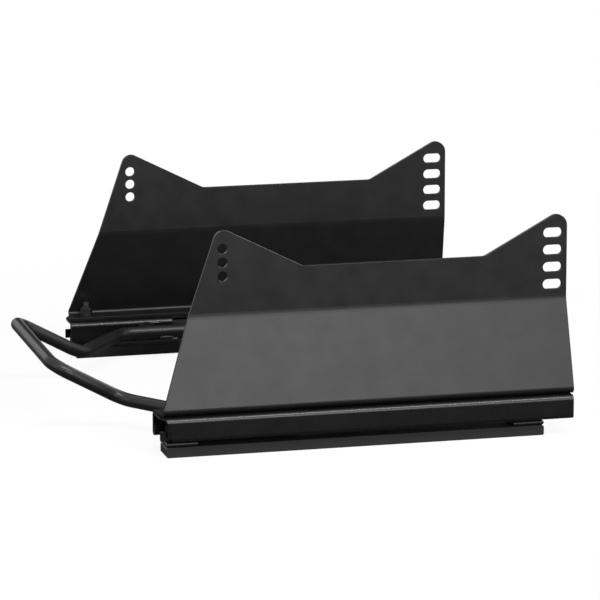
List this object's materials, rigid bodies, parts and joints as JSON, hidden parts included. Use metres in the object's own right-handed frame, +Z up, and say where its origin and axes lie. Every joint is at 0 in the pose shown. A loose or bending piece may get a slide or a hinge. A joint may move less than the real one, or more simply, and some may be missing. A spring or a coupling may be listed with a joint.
{
  "type": "seat slide rail",
  "caption": "Pair of black seat slide rails with folded side brackets, round and slotted seat bolt holes, and a bent tube release bar that unlocks both slides.",
  "frame": {"origin": "floor level, at the centre of the four floor bolt holes", "axes": "+X along the rails towards the rear, +Y to the right-hand rail, +Z up; the release bar's grip is at -X"},
  "size_m": [0.4532, 0.438, 0.1953],
  "materials": {
    "powder_coat": "satin black powder coat",
    "e_coat": "black dip paint",
    "black_steel": "black zinc",
    "bright_steel": "bright zinc",
    "nylon": "black nylon"
  },
  "bodies": {
    "floor_rails": {"foot_bar_left": "powder_coat", "foot_bar_right": "powder_coat", "front_pad_left": "powder_coat", "front_pad_right": "powder_coat", "rear_pad_left": "powder_coat", "rear_pad_right": "powder_coat", "runner_left": "black_steel", "runner_right": "black_steel"},
    "ball_cages": {"outer_cage_left": "nylon", "outer_cage_right": "nylon", "inner_cage_left": "nylon", "inner_cage_right": "nylon", "bearing_balls_left": "bright_steel", "bearing_balls_right": "bright_steel"},
    "carriage": {"upper_rail_left": "e_coat", "upper_rail_right": "e_coat", "side_bracket_left": "powder_coat", "side_bracket_right": "powder_coat", "bracket_studs": "black_steel", "stud_washers": "black_steel", "lock_nuts": "black_steel", "pivot_bush_left": "nylon", "pivot_bush_right": "nylon", "return_spring_left": "black_steel", "return_spring_right": "black_steel"},
    "release_lever": {"release_bar": "powder_coat", "lock_lever_left": "powder_coat", "lock_lever_right": "powder_coat", "pivot_pin_left": "bright_steel", "pivot_pin_right": "bright_steel"}
  },
  "joints": [
    {"name": "seat_slide", "type": "slide", "parent": "floor_rails", "child": "carriage", "axis": [1, 0, 0], "range_m": [-0.104, 0.088]},
    {"name": "cage_slide", "type": "slide", "parent": "floor_rails", "child": "ball_cages", "axis": [1, 0, 0], "range_m": [-0.052, 0.044]},
    {"name": "bar_lift", "type": "hinge", "parent": "carriage", "child": "release_lever", "pos_m": [-0.1045, 0, 0.0265], "axis": [0, 1, 0], "range_deg": [-6, 0], "stiffness_Nm_per_rad": 1, "springref_deg": -17.19, "deforming": ["return_spring_left", "return_spring_right"]}
  ],
  "couplings": [
    {"joint": "cage_slide", "follows": "seat_slide", "ratio": 0.5}
  ]
}
